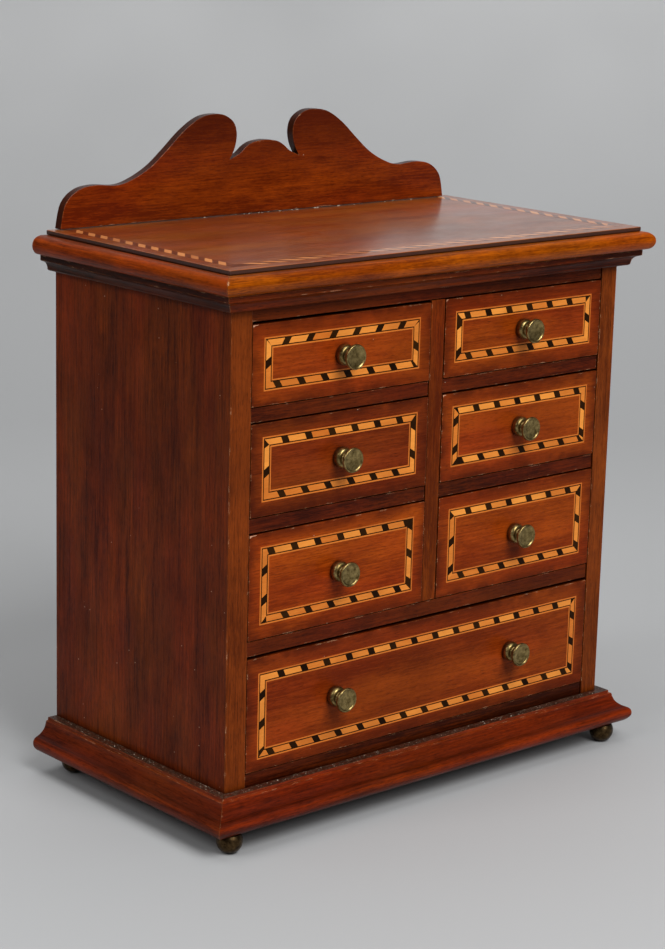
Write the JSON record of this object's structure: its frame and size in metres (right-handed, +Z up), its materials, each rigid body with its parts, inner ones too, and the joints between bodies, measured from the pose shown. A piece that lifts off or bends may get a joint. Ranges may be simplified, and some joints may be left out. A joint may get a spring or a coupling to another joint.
{
  "type": "miniature chest of drawers",
  "caption": "Small table-top wooden chest with graduated drawers that slide out, inlaid fronts, turned pulls, moulded top, shaped gallery board and ball feet.",
  "frame": {"origin": "on the ground under the middle of the whole piece", "axes": "+Z up, -Y out of the drawer fronts, +X to the right seen from the front"},
  "size_m": [0.2898, 0.157, 0.3383],
  "materials": {
    "side_mahogany": "satin varnish over vertical grain",
    "frame_mahogany": "satin varnish",
    "top_mahogany": "glossy worn varnish",
    "gallery_mahogany": "glossy varnish",
    "plinth_mahogany": "satin varnish",
    "drawer_front_mahogany": "satin varnish with boxwood and ebony banding",
    "drawer_lining": "bare planed wood",
    "back_wood": "bare stained wood",
    "knob_brass": "dull aged",
    "foot_brass": "dark aged"
  },
  "bodies": {
    "carcass": {"back_panel": "back_wood", "base_board": "frame_mahogany", "case_top": "frame_mahogany", "cornice": "top_mahogany", "foot_back_left": "foot_brass", "foot_back_right": "foot_brass", "foot_front_left": "foot_brass", "foot_front_right": "foot_brass", "gallery": "gallery_mahogany", "left_side": "side_mahogany", "lower_shelf": "frame_mahogany", "middle_shelf": "frame_mahogany", "partition": "frame_mahogany", "plinth": "plinth_mahogany", "right_side": "side_mahogany", "top_board": "top_mahogany", "upper_shelf": "frame_mahogany"},
    "drawer_first_left": {"drawer_first_left_back": "drawer_lining", "drawer_first_left_bottom": "drawer_lining", "drawer_first_left_front": "drawer_front_mahogany", "drawer_first_left_knob": "knob_brass", "drawer_first_left_side_left": "drawer_lining", "drawer_first_left_side_right": "drawer_lining"},
    "drawer_first_right": {"drawer_first_right_back": "drawer_lining", "drawer_first_right_bottom": "drawer_lining", "drawer_first_right_front": "drawer_front_mahogany", "drawer_first_right_knob": "knob_brass", "drawer_first_right_side_left": "drawer_lining", "drawer_first_right_side_right": "drawer_lining"},
    "drawer_second_left": {"drawer_second_left_back": "drawer_lining", "drawer_second_left_bottom": "drawer_lining", "drawer_second_left_front": "drawer_front_mahogany", "drawer_second_left_knob": "knob_brass", "drawer_second_left_side_left": "drawer_lining", "drawer_second_left_side_right": "drawer_lining"},
    "drawer_second_right": {"drawer_second_right_back": "drawer_lining", "drawer_second_right_bottom": "drawer_lining", "drawer_second_right_front": "drawer_front_mahogany", "drawer_second_right_knob": "knob_brass", "drawer_second_right_side_left": "drawer_lining", "drawer_second_right_side_right": "drawer_lining"},
    "drawer_third_left": {"drawer_third_left_back": "drawer_lining", "drawer_third_left_bottom": "drawer_lining", "drawer_third_left_front": "drawer_front_mahogany", "drawer_third_left_knob": "knob_brass", "drawer_third_left_side_left": "drawer_lining", "drawer_third_left_side_right": "drawer_lining"},
    "drawer_third_right": {"drawer_third_right_back": "drawer_lining", "drawer_third_right_bottom": "drawer_lining", "drawer_third_right_front": "drawer_front_mahogany", "drawer_third_right_knob": "knob_brass", "drawer_third_right_side_left": "drawer_lining", "drawer_third_right_side_right": "drawer_lining"},
    "drawer_wide": {"drawer_wide_back": "drawer_lining", "drawer_wide_bottom": "drawer_lining", "drawer_wide_front": "drawer_front_mahogany", "drawer_wide_knob_left": "knob_brass", "drawer_wide_knob_right": "knob_brass", "drawer_wide_side_left": "drawer_lining", "drawer_wide_side_right": "drawer_lining"}
  },
  "joints": [
    {"name": "drawer_first_left_slide", "type": "slide", "parent": "carcass", "child": "drawer_first_left", "axis": [0, -1, 0], "range_m": [0, 0.11]},
    {"name": "drawer_first_right_slide", "type": "slide", "parent": "carcass", "child": "drawer_first_right", "axis": [0, -1, 0], "range_m": [0, 0.11]},
    {"name": "drawer_second_left_slide", "type": "slide", "parent": "carcass", "child": "drawer_second_left", "axis": [0, -1, 0], "range_m": [0, 0.11]},
    {"name": "drawer_second_right_slide", "type": "slide", "parent": "carcass", "child": "drawer_second_right", "axis": [0, -1, 0], "range_m": [0, 0.11]},
    {"name": "drawer_third_left_slide", "type": "slide", "parent": "carcass", "child": "drawer_third_left", "axis": [0, -1, 0], "range_m": [0, 0.11]},
    {"name": "drawer_third_right_slide", "type": "slide", "parent": "carcass", "child": "drawer_third_right", "axis": [0, -1, 0], "range_m": [0, 0.11]},
    {"name": "drawer_wide_slide", "type": "slide", "parent": "carcass", "child": "drawer_wide", "axis": [0, -1, 0], "range_m": [0, 0.11]}
  ]
}
